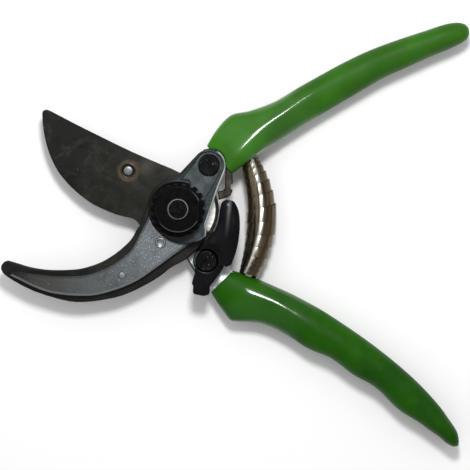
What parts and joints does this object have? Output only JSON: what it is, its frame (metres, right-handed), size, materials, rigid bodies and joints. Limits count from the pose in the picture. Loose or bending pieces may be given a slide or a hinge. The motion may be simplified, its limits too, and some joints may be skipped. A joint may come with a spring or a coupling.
{
  "type": "pruning shears",
  "caption": "Bypass pruning shears with a curved hook, coated grips, a sprung pivot and a thumb catch.",
  "frame": {"origin": "on the pivot axis, at the underside of the bolt head", "axes": "+X halves the angle between the open handles and points to the grips, +Z out of the nut side"},
  "size_m": [0.1934, 0.1744, 0.0223],
  "materials": {
    "forged_aluminium": "speckled satin",
    "blade_steel": "dark oiled steel, stained",
    "counter_steel": "near-black steel",
    "green_vinyl": "glossy dipped vinyl",
    "black_steel": "semi-gloss black",
    "bright_steel": "bright",
    "spring_steel": "oiled brown-grey",
    "segment_steel": "dull grey"
  },
  "bodies": {
    "hook_handle": {"hook_handle_forging": "forged_aluminium", "counter_blade": "counter_steel", "counter_blade_rivet_rear": "bright_steel", "counter_blade_rivet_front": "bright_steel", "upper_grip": "green_vinyl", "pivot_bolt": "bright_steel", "pivot_nut": "black_steel", "lock_segment": "segment_steel", "segment_screw": "black_steel", "catch_keeper": "spring_steel", "spring_stud_upper": "bright_steel", "volute_spring": "spring_steel"},
    "blade_handle": {"blade_handle_forging": "forged_aluminium", "cutting_blade": "blade_steel", "blade_rivet": "bright_steel", "lower_grip": "green_vinyl", "spring_stud_lower": "bright_steel", "catch_washer": "bright_steel", "catch_screw": "black_steel"},
    "thumb_catch": {"thumb_catch": "black_steel"}
  },
  "joints": [
    {"name": "handle_pivot", "type": "hinge", "parent": "hook_handle", "child": "blade_handle", "pos_m": [0, 0, 0.0085], "axis": [0, 0, 1], "range_deg": [0, 55], "stiffness_Nm_per_rad": 0.5, "springref_deg": -17.19, "deforming": ["volute_spring"]},
    {"name": "catch_swing", "type": "hinge", "parent": "blade_handle", "child": "thumb_catch", "pos_m": [0.01317, -0.02002, 0.0154], "axis": [0, 0, 1], "range_deg": [-20, 8]}
  ]
}
